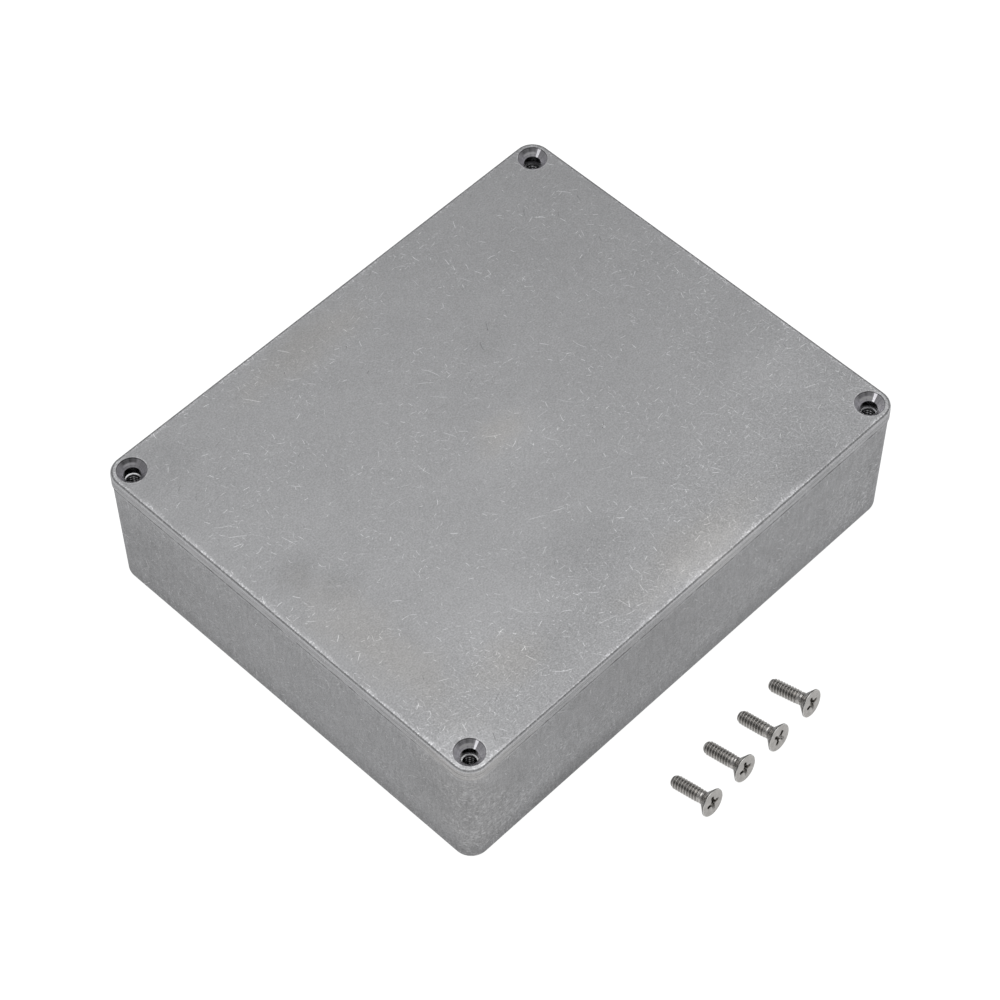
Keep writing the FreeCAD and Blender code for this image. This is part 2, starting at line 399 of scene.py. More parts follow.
def screw_tree(thread):
    """A countersunk screw along +X: face at the origin, cross recess, uneven neck and rolled thread."""
    inputs = {**SCREW_FORM, "Phase": 0.0, "Seed": 0.0, "Material": "Material"}
    outputs = {"Geometry": "Geometry"}
    made, tree, given, result = new_group("countersunk_screw", inputs, outputs, "GeometryNodeTree")
    sides = given["Sides"]
    head_r = given["Head radius"]
    neck_r = given["Neck radius"]
    bevel = given["Head edge bevel"]
    land = given["Head land"]
    half_angle = tree.math("RADIANS", tree.times(given["Head angle"], 0.5))
    under_head = tree.over(tree.minus(head_r, neck_r), tree.math("TANGENT", half_angle))
    face_r = tree.minus(head_r, bevel)
    head = together(tree, [
        disc(tree, sides, face_r, 0.0, faces_down=True),
        frustum(tree, sides, face_r, head_r, 0.0, bevel),
        frustum(tree, sides, head_r, head_r, bevel, tree.minus(land, bevel)),
        frustum(tree, sides, head_r, neck_r, land, under_head),
        disc(tree, sides, given["Tip radius"], given["Length"]),
    ])
    head = moved(tree, head, rotation=UPRIGHT_TO_AHEAD)
    neck_start = tree.plus(land, under_head)
    shank = tree.group(
        thread, start=neck_start, end=given["Length"], pitch=given["Pitch"],
        thread_radius=given["Thread radius"], depth=given["Depth"], neck_radius=neck_r,
        run_out=given["Run out"], tip_length=given["Tip length"], tip_radius=given["Tip radius"],
        unevenness=given["Unevenness"], phase=given["Phase"], sides=sides,
        rows_a_turn=given["Rows a turn"], seed=given["Seed"],
    )["Mesh"]
    blank = merged(tree, together(tree, [head, shank]))
    wing = recess_wing(tree, given)
    core_length = tree.plus(given["Recess depth"], RECESS_OVERSHOOT + RECESS_CORE_DEEPER)
    core = cone(tree, RECESS_CORE_SIDES, given["Recess core"], RECESS_CORE_FOOT, core_length, "NGON")
    core = moved(tree, core, translation=(-RECESS_OVERSHOOT, 0.0, 0.0), rotation=UPRIGHT_TO_AHEAD)
    recessed = cut(tree, blank, [wing, moved(tree, wing, rotation=(math.pi / 2, 0.0, 0.0)), core])
    position = tree.add("GeometryNodeInputPosition").outputs["Position"]
    own = stored(tree, recessed, "own_place", position, "FLOAT_VECTOR")
    on_thread = tree.math("GREATER_THAN", tree.parts(position)[0], neck_start)
    sharp_from = tree.mix(on_thread, HEAD_SHARP_DEG, THREAD_SHARP_DEG)
    tree.feed(result["Geometry"], finished(tree, own, sharp_from, given["Material"]))
    return made


# Taps, in millimetres: length of the run out at the lower end, how far the upper end's face is inside
# the thread's root, and the angle from which edges are sharp
TAP_RUN_OUT = 0.8
TAP_END_BELOW_ROOT = 0.05
TAP_SHARP_DEG = 38.0


def tapped_base_tree(thread):
    """Cuts a real thread into the bore of each boss of the base casting."""
    inputs = {"Geometry": "Geometry", **TAP_FORM, **TAP_PLACES, "Material": "Material"}
    made, tree, given, result = new_group("tapped_base", inputs, {"Geometry": "Geometry"}, "GeometryNodeTree")
    sides = given["Sides"]
    length = tree.plus(given["Thread length"], given["Above seam"])
    end_length = tree.plus(given["Depth"], TAP_END_BELOW_ROOT)
    end_r = tree.minus(given["Thread radius"], end_length)
    caps = together(tree, [
        disc(tree, sides, given["Neck radius"], 0.0, faces_down=True),
        disc(tree, sides, end_r, length),
    ])
    caps = moved(tree, caps, rotation=UPRIGHT_TO_AHEAD)
    skin = tree.group(
        thread, start=0.0, end=length, pitch=given["Pitch"], thread_radius=given["Thread radius"],
        depth=given["Depth"], neck_radius=given["Neck radius"], run_out=TAP_RUN_OUT,
        tip_length=end_length, tip_radius=end_r, sides=sides, rows_a_turn=given["Rows a turn"],
    )["Mesh"]
    tap = moved(
        tree, merged(tree, together(tree, [caps, skin])),
        translation=tree.joined(0.0, 0.0, tree.minus(given["Seam height"], given["Thread length"])),
        rotation=(0.0, -math.pi / 2, 0.0),
    )
    axes = flat_grid(tree, given["Spacing X"], given["Spacing Y"], 2, 2)
    taps = tree.add("GeometryNodeInstanceOnPoints", {"Points": axes, "Instance": tap}).outputs["Instances"]
    taps = tree.add("GeometryNodeRealizeInstances", {"Geometry": taps}).outputs["Geometry"]
    tapped = cut(tree, given["Geometry"], [taps])
    tree.feed(result["Geometry"], finished(tree, tapped, TAP_SHARP_DEG, given["Material"]))
    return made


def grown_mesh(name, growth, values, start=None):
    """The plain mesh that a node tree grows from these values, with its shading evened out."""
    source = bpy.data.objects.new(name, start or bpy.data.meshes.new(name))
    bpy.context.scene.collection.objects.link(source)
    modifier = source.modifiers.new("growth", "NODES")
    modifier.node_group = growth
    for socket in growth.interface.items_tree:
        if socket.in_out == "INPUT" and socket.name in values:
            modifier[socket.identifier] = values[socket.name]
    even = source.modifiers.new("even_shading", "WEIGHTED_NORMAL")
    even.keep_sharp = True
    depsgraph = bpy.context.evaluated_depsgraph_get()
    mesh = bpy.data.meshes.new_from_object(
        source.evaluated_get(depsgraph), preserve_all_data_layers=True, depsgraph=depsgraph
    )
    bpy.data.objects.remove(source)
    return mesh


def add_piece(name, mesh, node):
    """Adds a finished piece that stands for a node of the frame."""
    piece = bpy.data.objects.new(name, mesh)
    bpy.context.scene.collection.objects.link(piece)
    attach(piece, "root")
    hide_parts(node)


def laid_down(x, out_from_side, bearing_deg, recess_turn_deg):
    """Where a loose screw lies: on its head's rim and its tip, beside the box's long side."""
    head_r = SCREW_FORM["Head radius"]
    land = SCREW_FORM["Head land"]
    reach = SCREW_FORM["Length"] - SCREW_FORM["Tip length"] - land
    tilt = math.atan2(head_r - SCREW_FORM["Thread radius"], reach)
    height = land * math.sin(tilt) + head_r * math.cos(tilt)
    return (
        Matrix.Scale(MM, 4)
        @ Matrix.Translation((x, -BASE_HALF_Y - out_from_side, height))
        @ Matrix.Rotation(math.radians(bearing_deg), 4, "Z")
        @ Matrix.Rotation(tilt, 4, "Y")
        @ Matrix.Rotation(math.radians(recess_turn_deg), 4, "X")
    )


# From screw to screw: where the thread starts, in turns, and the seed of the neck's lumps
PHASE_STEP = 0.37
SEED_STEP = 5.0


def add_screws(thread, material):
    growth = screw_tree(thread)
    for number, place in enumerate(LOOSE_SCREWS, 1):
        values = {**SCREW_FORM, "Seed": SEED_STEP * number, "Material": material}
        values["Phase"] = (PHASE_STEP * number) % 1.0
        name = "threaded_screw_" + str(number)
        mesh = grown_mesh(name, growth, values)
        mesh.transform(laid_down(*place))
        add_piece(name, mesh, "lid_screw_" + str(number))


def add_tapped_base(thread, material):
    mesh = frame["nodes"]["box_base"].data.copy()
    mesh.materials.clear()
    mesh.transform(Matrix.Scale(1.0 / MM, 4))
    shape = bmesh.new()
    shape.from_mesh(mesh)
    bmesh.ops.remove_doubles(shape, verts=shape.verts, dist=JOIN_WITHIN)
    shape.to_mesh(mesh)
    shape.free()
    values = {**TAP_FORM, **TAP_PLACES, "Material": material}
    mesh = grown_mesh("tapped_base", tapped_base_tree(thread), values, start=mesh)
    mesh.transform(Matrix.Scale(MM, 4))
    add_piece("tapped_base", mesh, "box_base")


# Patterns shared by the finishes

# How far the flat maps of the sides lie from the top's, and how much a level face looks up
SIDE_OFFSET = 400.0
LEVEL_FROM = 0.7

# Scratches: how much they bend, shares of the longest length, where their ends and sides fade, how
# faint the faintest is, and how many more are faint
SCRATCH_BEND = 0.9
SCRATCH_SHORTEST = 0.12
SCRATCH_LONGER = 0.42
SCRATCH_ENDS = (1.0, 0.6)
SCRATCH_SIDES = (1.0, 0.2)
SCRATCH_FAINTEST = 0.15
SCRATCH_FAINTER = 1.6

# Specks: the smallest, where the border fades, how faint the faintest is, and how many more are faint
SPECK_SMALLEST = 0.3
SPECK_BORDER = (1.0, 0.4)
SPECK_FAINTEST = 0.2
SPECK_FAINTER = 1.8

# Crowds of scratches and specks: size, border between crowds and bare places, and the share in each
CROWD_PER_MM = 0.055
CROWD_BORDER = (0.42, 0.62)
SCRATCH_CROWD = (0.18, 1.6)
SPECK_CROWD = (0.2, 1.6)

# Grain, mottling and broad patches of a tumbled casting, in a millimetre
GRAIN_PER_MM = 2.6
MOTTLE_PER_MM = 0.42
PATCH_PER_MM = 0.045

# Smudges: lumps of the border in a millimetre, how uneven it is, and where the smudge fades
SMUDGE_LUMPS_PER_MM = 0.11
SMUDGE_UNEVEN = 0.6
SMUDGE_BORDER = (1.1, 0.1)

# Lines round the box: how fast they wander, swell and break, in a millimetre, and how soft they are
LINE_WANDER_PER_MM = 0.3
LINE_SWELL_PER_MM = 0.8
LINE_SWELL = 0.8
LINE_GAPS_PER_MM = 0.16
LINE_SIDES = (1.0, 0.4)
LINE_FAINTEST = 0.25


def flat_map_group():
    """Lays a 3-D place out flat, by the way that the surface faces, so that lines run along the surface."""
    inputs = {"Place": "Vector", "Facing": "Vector"}
    made, tree, given, result = new_group("flat_map", inputs, {"Flat": "Vector"})
    x, y, z = tree.parts(given["Place"])
    facing = tree.parts(tree.vector("ABSOLUTE", given["Facing"]))
    on_long_side = tree.math("GREATER_THAN", facing[1], facing[0])
    on_level = tree.math("GREATER_THAN", facing[2], LEVEL_FROM)
    side = tree.mix(on_long_side, tree.plus(y, SIDE_OFFSET), x)
    first = tree.mix(on_level, side, x)
    second = tree.mix(on_level, tree.plus(z, SIDE_OFFSET), y)
    tree.feed(result["Flat"], tree.joined(first, second))
    return made


def hairline_group():
    """Short curved scratches in crowds, one in a cell, each with its own angle, length, bend and strength."""
    inputs = {
        "Flat": "Vector", "Cell": 6.0, "Length": 1.5, "Width": 0.1,
        "Lean": 0.0, "Spread": 1.0, "Share": 0.5, "Shift": 0.0,
    }
    made, tree, given, result = new_group("hairlines", inputs, {"Mask": "Float"})
    place = tree.vector("ADD", given["Flat"], tree.joined(given["Shift"], given["Shift"]))
    scale = tree.over(1.0, given["Cell"])
    cells = {"Vector": place, "Scale": scale}
    cells = tree.add("ShaderNodeTexVoronoi", cells, voronoi_dimensions="2D").outputs
    middle = cells["Position"]
    chance = tree.parts(cells["Color"])
    local = tree.parts(tree.vector("SUBTRACT", place, middle))
    angle = tree.times_plus(tree.minus(chance[0], 0.5), given["Spread"], given["Lean"])
    cosine = tree.math("COSINE", angle)
    sine = tree.math("SINE", angle)
    along = tree.plus(tree.times(local[0], cosine), tree.times(local[1], sine))
    across = tree.minus(tree.times(local[1], cosine), tree.times(local[0], sine))
    bend = tree.times(tree.minus(chance[1], 0.5), tree.over(SCRATCH_BEND, given["Length"]))
    across = tree.plus(across, tree.times(bend, tree.times(along, along)))
    half = tree.times(given["Length"], tree.times_plus(chance[2], SCRATCH_LONGER, SCRATCH_SHORTEST))
    within = tree.ramp(tree.over(tree.math("ABSOLUTE", along), half), *SCRATCH_ENDS)
    thin = tree.ramp(tree.over(tree.math("ABSOLUTE", across), given["Width"]), *SCRATCH_SIDES)
    draw = tree.add("ShaderNodeTexWhiteNoise", {"Vector": middle}).outputs["Value"]
    crowd = tree.ramp(tree.noise(middle, CROWD_PER_MM, detail=1.0), *CROWD_BORDER, *SCRATCH_CROWD)
    rank = tree.over(draw, tree.times(given["Share"], crowd))
    stronger = tree.math("POWER", rank, SCRATCH_FAINTER)
    strength = tree.times_plus(stronger, 1.0 - SCRATCH_FAINTEST, SCRATCH_FAINTEST)
    kept = tree.times(tree.math("LESS_THAN", rank, 1.0), strength)
    tree.feed(result["Mask"], tree.times(within, thin, kept))
    return made


def speck_group():
    """Small round specks in crowds, of random size and strength, one in some of the cells."""
    inputs = {"Place": "Vector", "Cell": 3.0, "Radius": 0.25, "Share": 0.3}
    made, tree, given, result = new_group("specks", inputs, {"Mask": "Float"})
    scale = tree.over(1.0, given["Cell"])
    cells = tree.add("ShaderNodeTexVoronoi", {"Vector": given["Place"], "Scale": scale}).outputs
    middle = cells["Position"]
    away = tree.vector("LENGTH", tree.vector("SUBTRACT", given["Place"], middle))
    draw = tree.parts(cells["Color"])
    crowd = tree.ramp(tree.noise(middle, CROWD_PER_MM * 2.0, detail=1.0), *CROWD_BORDER, *SPECK_CROWD)
    kept = tree.math("LESS_THAN", draw[0], tree.times(given["Share"], crowd))
    radius = tree.times(given["Radius"], tree.times_plus(draw[1], 1.0 - SPECK_SMALLEST, SPECK_SMALLEST))
    stronger = tree.math("POWER", draw[2], SPECK_FAINTER)
    strength = tree.times_plus(stronger, 1.0 - SPECK_FAINTEST, SPECK_FAINTEST)
    mask = tree.ramp(tree.over(away, radius), *SPECK_BORDER)
    tree.feed(result["Mask"], tree.times(mask, kept, strength))
    return made


def tumbled_group():
    """Tone of a tumbled casting: broad patches, soft mottling and fine grain about a middle of 1."""
    inputs = {"Place": "Vector", "Grain": 0.2, "Mottle": 0.1, "Patch": 0.08}
    made, tree, given, result = new_group("tumbled_metal", inputs, {"Tone": "Float", "Grain height": "Float"})
    grain = tree.noise(given["Place"], GRAIN_PER_MM, detail=1.0, roughness=0.6)
    mottle = tree.noise(given["Place"], MOTTLE_PER_MM, detail=3.0, roughness=0.6)
    patch = tree.noise(given["Place"], PATCH_PER_MM, detail=2.0, roughness=0.55, distortion=0.4)
    tone = 1.0
    for value, share in ((grain, "Grain"), (mottle, "Mottle"), (patch, "Patch")):
        tone = tree.times_plus(tree.swing(value), given[share], tone)
    tree.feed(result["Tone"], tone)
    tree.feed(result["Grain height"], grain)
    return made


def smudge_group():
    """A soft patch with an uneven border about a middle: 1 inside, 0 past its reach."""
    inputs = {"Place": "Vector", "Middle": "Vector", "Reach": "Vector"}
    made, tree, given, result = new_group("smudge", inputs, {"Mask": "Float"})
    from_middle = tree.vector("SUBTRACT", given["Place"], given["Middle"])
    away = tree.vector("LENGTH", tree.vector("DIVIDE", from_middle, given["Reach"]))
    uneven = tree.swing(tree.noise(given["Place"], SMUDGE_LUMPS_PER_MM, detail=3.0, roughness=0.6))
    away = tree.times_plus(uneven, SMUDGE_UNEVEN, away)
    tree.feed(result["Mask"], tree.ramp(away, *SMUDGE_BORDER))
    return made


def outline_group():
    """How far a place lies inside the lid's outline in plan, in millimetres."""
    made, tree, given, result = new_group("inside_outline", {"Place": "Vector"}, {"Inside": "Float"})
    plan = tree.vector("ABSOLUTE", tree.vector("MULTIPLY", given["Place"], IN_PLAN))
    core = (LID_HALF_X - LID_CORNER_R, LID_HALF_Y - LID_CORNER_R, 0.0)
    past = tree.vector("SUBTRACT", plan, core)
    outside_core = tree.vector("LENGTH", tree.vector("MAXIMUM", past, (0.0, 0.0, 0.0)))
    x, y, _ = tree.parts(past)
    inside_core = tree.math("MINIMUM", tree.math("MAXIMUM", x, y), 0.0)
    distance = tree.plus(outside_core, inside_core)
    tree.feed(result["Inside"], tree.minus(LID_CORNER_R, distance))
    return made


def screw_axis_group():
    """Distance from the nearest screw axis, and the direction from it as a unit vector in plan."""
    outputs = {"Radius": "Float", "Direction": "Vector"}
    made, tree, given, result = new_group("from_screw_axis", {"Place": "Vector"}, outputs)
    x, y, _ = tree.parts(given["Place"])
    axis_x = tree.times(tree.math("SIGN", x), SCREW_X)
    axis_y = tree.times(tree.math("SIGN", y), SCREW_Y)
    away = tree.joined(tree.minus(x, axis_x), tree.minus(y, axis_y))
    tree.feed(result["Radius"], tree.vector("LENGTH", away))
    tree.feed(result["Direction"], tree.vector("NORMALIZE", away))
    return made


def edge_line_group():
    """A broken and wandering line at one height round the box: 1 on the line, 0 off it."""
    inputs = {"Place": "Vector", "Height": 0.0, "Width": 0.3, "Wander": 0.2, "Broken": 0.5}
    made, tree, given, result = new_group("edge_line", inputs, {"Mask": "Float"})
    x, y, z = tree.parts(given["Place"])
    plan = tree.joined(x, y, given["Height"])
    wander = tree.swing(tree.noise(plan, LINE_WANDER_PER_MM, detail=3.0, roughness=0.6))
    height = tree.plus(z, tree.times(wander, given["Wander"]))
    away = tree.math("ABSOLUTE", tree.minus(height, given["Height"]))
    swell = tree.swing(tree.noise(plan, LINE_SWELL_PER_MM, detail=2.0, roughness=0.6))
    width = tree.times(given["Width"], tree.times_plus(swell, LINE_SWELL, 1.0))
    line = tree.ramp(tree.over(away, width), *LINE_SIDES)
    gaps = tree.noise(plan, LINE_GAPS_PER_MM, detail=4.0, roughness=0.7)
    gap_from = tree.minus(given["Broken"], 0.12)
    gap_to = tree.plus(given["Broken"], 0.06)
    tree.feed(result["Mask"], tree.times(line, tree.ramp(gaps, gap_from, gap_to, LINE_FAINTEST, 1.0)))
    return made


FLAT_MAP = flat_map_group()
HAIRLINES = hairline_group()
SPECKS = speck_group()
TUMBLED = tumbled_group()
SMUDGE = smudge_group()
INSIDE_OUTLINE = outline_group()
SCREW_AXIS = screw_axis_group()
EDGE_LINE = edge_line_group()


def new_material(name):
    """A material with a Principled shader, its tree, its place in millimetres and the way that it faces."""
    material = bpy.data.materials.new(name)
    material.use_nodes = True
    material.node_tree.nodes.clear()
    tree = Tree(material.node_tree)
    shader = tree.add("ShaderNodeBsdfPrincipled")
    tree.add("ShaderNodeOutputMaterial", {"Surface": shader.outputs["BSDF"]})
    coordinates = tree.add("ShaderNodeTexCoord").outputs
    place = tree.scaled(coordinates["Object"], 1.0 / MM)
    return material, tree, shader, place, coordinates["Normal"]


# The castings: cool and warm aluminium, freshly cut metal, the way that level is drawn in the view, along
# which the scratches' painted glints mostly lie, broad patches of tone, how much smoother the marks are,
# and the height of the grain in metres
CAST_GREY = (0.518, 0.520, 0.531, 1.0)
CAST_WARM = (0.527, 0.521, 0.519, 1.0)
CUT_METAL = (0.80, 0.79, 0.83)
LEVEL_IN_PLAN = math.radians(-45)
PATCHINESS = 0.05
SMOOTHER_IN_MARKS = 0.12
GRAIN_BUMP = {"Strength": 0.4, "Distance": 0.00005}

# Scratches: cell, longest length, half width, spread of angle, share of the cells, shift, brightness. The
# bright ones are real scratches with a painted glint
FINE_SCRATCH_GLINTS = (1.4, 1.7, 0.10, 2.6, 0.62, 0.0, 0.75)
SHORT_SCRATCH_GLINTS = (2.5, 2.7, 0.10, 3.1, 0.46, 31.7, 0.92)
LONG_SCRATCH_GLINTS = (5.2, 5.6, 0.095, 1.5, 0.34, 77.3, 0.85)
DARK_SCRATCHES = (5.5, 3.0, 0.12, 1.2, 0.2, 153.1, -0.45)

# Specks: cell and radius in millimetres, share of the cells
SPECK_CELL = 0.95
SPECK_RADIUS = 0.2
SPECK_SHARE = 0.36

# Grain, mottling and roughness: on the lid, and on the walls
LID_GRAIN = 0.32
LID_MOTTLE = 0.08
LID_ROUGHNESS = 0.46
WALL_GRAIN = 0.5
WALL_MOTTLE = 0.13
WALL_ROUGHNESS = 0.5

# The lid's top is busier toward the near side and the right end: along Y, and along X less Y
NEAR_SIDE = (-20.0, -LID_HALF_Y)
RIGHT_END = (20.0, 130.0)

# Worn, smeared and stained places of the lid's top, with painted light and shade of the light's falloff
# across it:
# middle, reach, and how much lighter or darker
LID_SMUDGES_AND_FALLOFF = (
    ((2.0, -2.0), (16.0, 12.0), 0.08),
    ((-61.0, 7.0), (9.0, 8.0), -0.10),
    ((-56.0, -3.0), (8.0, 6.0), -0.08),
    ((16.0, 24.0), (10.0, 9.0), -0.05),
    ((-8.0, -36.0), (18.0, 13.0), -0.08),
    ((6.0, -58.0), (24.0, 7.0), 0.17),
    ((58.0, -33.0), (16.0, 13.0), 0.07),
    ((-40.0, -32.0), (20.0, 16.0), 0.04),
    ((44.0, -56.0), (14.0, 8.0), -0.06),
    ((-18.0, 55.0), (12.0, 6.0), -0.05),
    ((-62.0, 52.0), (14.0, 10.0), -0.07),
    ((-30.0, -50.0), (22.0, 8.0), -0.06),
    ((-68.0, -56.0), (9.0, 9.0), 0.10),
)
LID_WARM_PLACES = (
    ((-14.0, 53.0), (26.0, 8.0), 1.0),
    ((-62.0, -21.0), (10.0, 34.0), 1.0),
    ((-45.0, -45.0), (13.0, 8.0), 1.0),
    ((0.0, 1.0), (10.0, 7.0), 1.0),
    ((9.0, -54.0), (30.0, 9.0), 1.0),
)

# Darker places of the walls, in three directions: middle, reach, and how much darker; and light mottling
# there
WALL_SMUDGES = (
    ((70.0, -60.5, 17.0), (16.0, 6.0, 18.0), -0.11),
    ((-72.5, 50.0, 17.0), (6.0, 34.0, 20.0), -0.13),
    ((-45.0, -60.5, 2.0), (36.0, 6.0, 9.0), -0.15),
    ((-72.5, -50.0, 23.0), (6.0, 14.0, 12.0), -0.10),
    ((-60.0, -60.5, 20.0), (16.0, 6.0, 12.0), -0.05),
)
WALL_MOTTLING = (
    ((-62.0, -60.0, 6.0), (20.0, 8.0, 16.0)),
    ((-72.0, -60.0, 24.0), (14.0, 14.0, 22.0)),
    ((62.0, -60.0, 12.0), (16.0, 8.0, 22.0)),
)
WALL_LIGHTER = 0.11

# The corner next to the camera, rubbed and warmer, and its battered tip: middle and reach
NEAR_CORNER = ((-72.0, -60.0, 34.0), (22.0, 22.0, 60.0))
BATTERED_TIP = ((-68.0, -56.0, LID_TOP_Z), (10.0, 10.0, 10.0))


def casting_marks(tree, flat, busy):
    """Bright scratches with a painted glint and dark scratches together, stronger where the surface is busy,
    and the bright ones alone.
    """
    bright = 0.0
    # Painted glint: the bright scratches lighten the tone as if they caught the light.
    for layer in (FINE_SCRATCH_GLINTS, SHORT_SCRATCH_GLINTS, LONG_SCRATCH_GLINTS):
        cell, length, width, spread, share, shift, strength = layer
        mask = tree.group(
            HAIRLINES, flat=flat, cell=cell, length=length, width=width,
            lean=LEVEL_IN_PLAN, spread=spread, share=tree.times(share, busy), shift=shift,
        )["Mask"]
        bright = tree.times_plus(mask, strength, bright)
    cell, length, width, spread, share, shift, strength = DARK_SCRATCHES
    dark = tree.group(
        HAIRLINES, flat=flat, cell=cell, length=length, width=width,
        lean=LEVEL_IN_PLAN + math.pi / 2, spread=spread, share=share, shift=shift,
    )["Mask"]
    return tree.times_plus(dark, strength, bright), bright


def casting_tone(tree, place, facing, busy, grain, mottle):
    """Tone of the tumbled surface with its marks, the height of its grain, and its bright marks."""
    flat = tree.group(FLAT_MAP, place=place, facing=facing)["Flat"]
    tumbled = tree.group(TUMBLED, place=place, grain=grain, mottle=mottle, patch=PATCHINESS)
    marks, bright = casting_marks(tree, flat, busy)
    share = tree.times(SPECK_SHARE, busy)
    specks = tree.group(SPECKS, place=place, cell=SPECK_CELL, radius=SPECK_RADIUS, share=share)["Mask"]
    tone = tree.plus(specks, tree.plus(tumbled["Tone"], marks))
    return tone, tumbled["Grain height"], tree.plus(bright, specks, clamp=True)


def leaned(tree, normal, toward, share):
    """A normal leaned by a share toward a direction."""
    return tree.vector("NORMALIZE", tree.mix(share, normal, toward))


def grain_bump(tree, height):
    return tree.add("ShaderNodeBump", {**GRAIN_BUMP, "Height": height}).outputs["Normal"]


def smudge(tree, place, middle, reach):
    return tree.group(SMUDGE, place=place, middle=middle, reach=reach)["Mask"]


def smudged(tree, place, tone, smudges):
    """A tone made lighter or darker in places."""
    for middle, reach, change in smudges:
        tone = tree.times_plus(smudge(tree, place, middle, reach), change, tone)
    return tone


def smudged_top(tree, place, tone, smudges):
    """The same for the lid's top, by places in plan."""
    flat = tree.vector("MULTIPLY", place, IN_PLAN)
    in_space = [((*middle, 0.0), (*reach, 1.0), change) for middle, reach, change in smudges]
    return smudged(tree, flat, tone, in_space)


def seam_line_and_shadow(tree, place, height, width, near_corner):
    """The dark line where lid and base meet, the joint with painted shadow under the lid's overhang, fainter
    at the rubbed corner.
    """
    line = tree.group(EDGE_LINE, place=place, height=height, width=width, wander=0.3, broken=0.49)["Mask"]
    return tree.times(line, tree.times_plus(near_corner, -0.75, 1.0))


def at_back_hole(tree, x, y, side):
    """1 in the quarter of the back left screw hole, for a side of -1, or the back right one, for 1."""
    on_side = tree.math("GREATER_THAN", tree.times(x, side), 0.0)
    return tree.times(on_side, tree.math("GREATER_THAN", y, 0.0))


def worn_rim(tree, place, near_top, tone):
    """The rubbed rim of the lid's top, of uneven width, and the tone with its bright spots."""
    inside = tree.group(INSIDE_OUTLINE, place=place)["Inside"]
    reach = tree.ramp(tree.noise(place, 0.09, detail=2.0, roughness=0.6), 0.35, 0.65, 0.6, 1.5)
    worn = tree.times(tree.ramp(tree.over(inside, reach), 1.5, 0.55), near_top)
    ragged = tree.noise(place, 1.9, detail=2.0, roughness=0.75)
    spots = tree.times_plus(tree.ramp(ragged, 0.52, 0.63), 0.6, 0.02)
    return worn, tree.times_plus(worn, spots, tone)


# The lid's edge: how much lighter the bend is, for polish and a painted highlight, striae in a millimetre,
# how they swing, how much lighter the band is painted for the light it takes, and the scored line's place
# below the top
BEND_WEAR_AND_HIGHLIGHT = 0.5
STRIAE_PER_MM = (0.09, 0.09, 3.0)
STRIAE_SWING = 0.55
BAND_PAINTED_LIGHT = 0.30
SCORED_BELOW_TOP = 2.0


def lid_edge(tree, place, up, on_band, near_corner, tone):
    """The tone with the polished bend and its painted highlight, the band with its striae and painted light,
    a scored line and the seam with painted shadow.
    """
    # Painted highlight on the rounded edge, with its polish: the whole bend is lighter.
    on_bend = tree.times(tree.ramp(up, 0.93, 0.62), tree.ramp(up, 0.02, 0.2))
    tone = tree.times_plus(on_bend, BEND_WEAR_AND_HIGHLIGHT, tone)
    # Painted light on the upright band, with real striae across it.
    striae = tree.noise(tree.vector("MULTIPLY", place, STRIAE_PER_MM), 1.0, detail=3.0, roughness=0.7)
    band = tree.times_plus(tree.swing(striae), STRIAE_SWING, BAND_PAINTED_LIGHT)
    tone = tree.times_plus(on_band, band, tone)
    height = LID_TOP_Z - SCORED_BELOW_TOP
    scored = tree.group(EDGE_LINE, place=place, height=height, width=0.2, wander=0.5, broken=0.52)["Mask"]
    # The seam's dark joint with painted shadow, at the foot of the band.
    seam = seam_line_and_shadow(tree, place, SEAM_Z + 0.1, 0.55, near_corner)
    lines = tree.times_plus(seam, -0.8, tree.times_plus(scored, -0.3, 1.0))
    return tree.times(tone, tree.mix(on_band, 1.0, lines))


def burred(tree, place, radius, near_top, tone):
    """The tone with bright burrs round the countersinks and on the battered tip of the near corner."""
    burr = tree.noise(place, 0.8, detail=3.0, roughness=0.7)
    ring = tree.times(
        tree.ramp(radius, SINK_R - 0.1, SINK_R + 0.02), tree.ramp(radius, SINK_R + 0.4, SINK_R + 0.1),
        near_top, tree.ramp(burr, 0.4, 0.65, 0.0, 0.45),
    )
    battered = tree.times(smudge(tree, place, *BATTERED_TIP), near_top, tree.ramp(burr, 0.42, 0.6))
    return tree.times_plus(battered, 0.22, tree.plus(ring, tone))


def plan_direction(bearing_deg):
    bearing = math.radians(bearing_deg)
    return (math.cos(bearing), math.sin(bearing), 0.0)


# The countersinks: bearings of a bright streak and of a patch of painted shade round the axis, how far the
# streak lifts the normal, and roughness of the cone and, less that, of the bore
STREAK_DIRECTION = plan_direction(15.0)
SHADE_PATCH_DIRECTION = plan_direction(62.0)
STREAK_LIFT = 0.75
CUT_ROUGHNESS = 0.36
BORE_SMOOTHER = -0.15


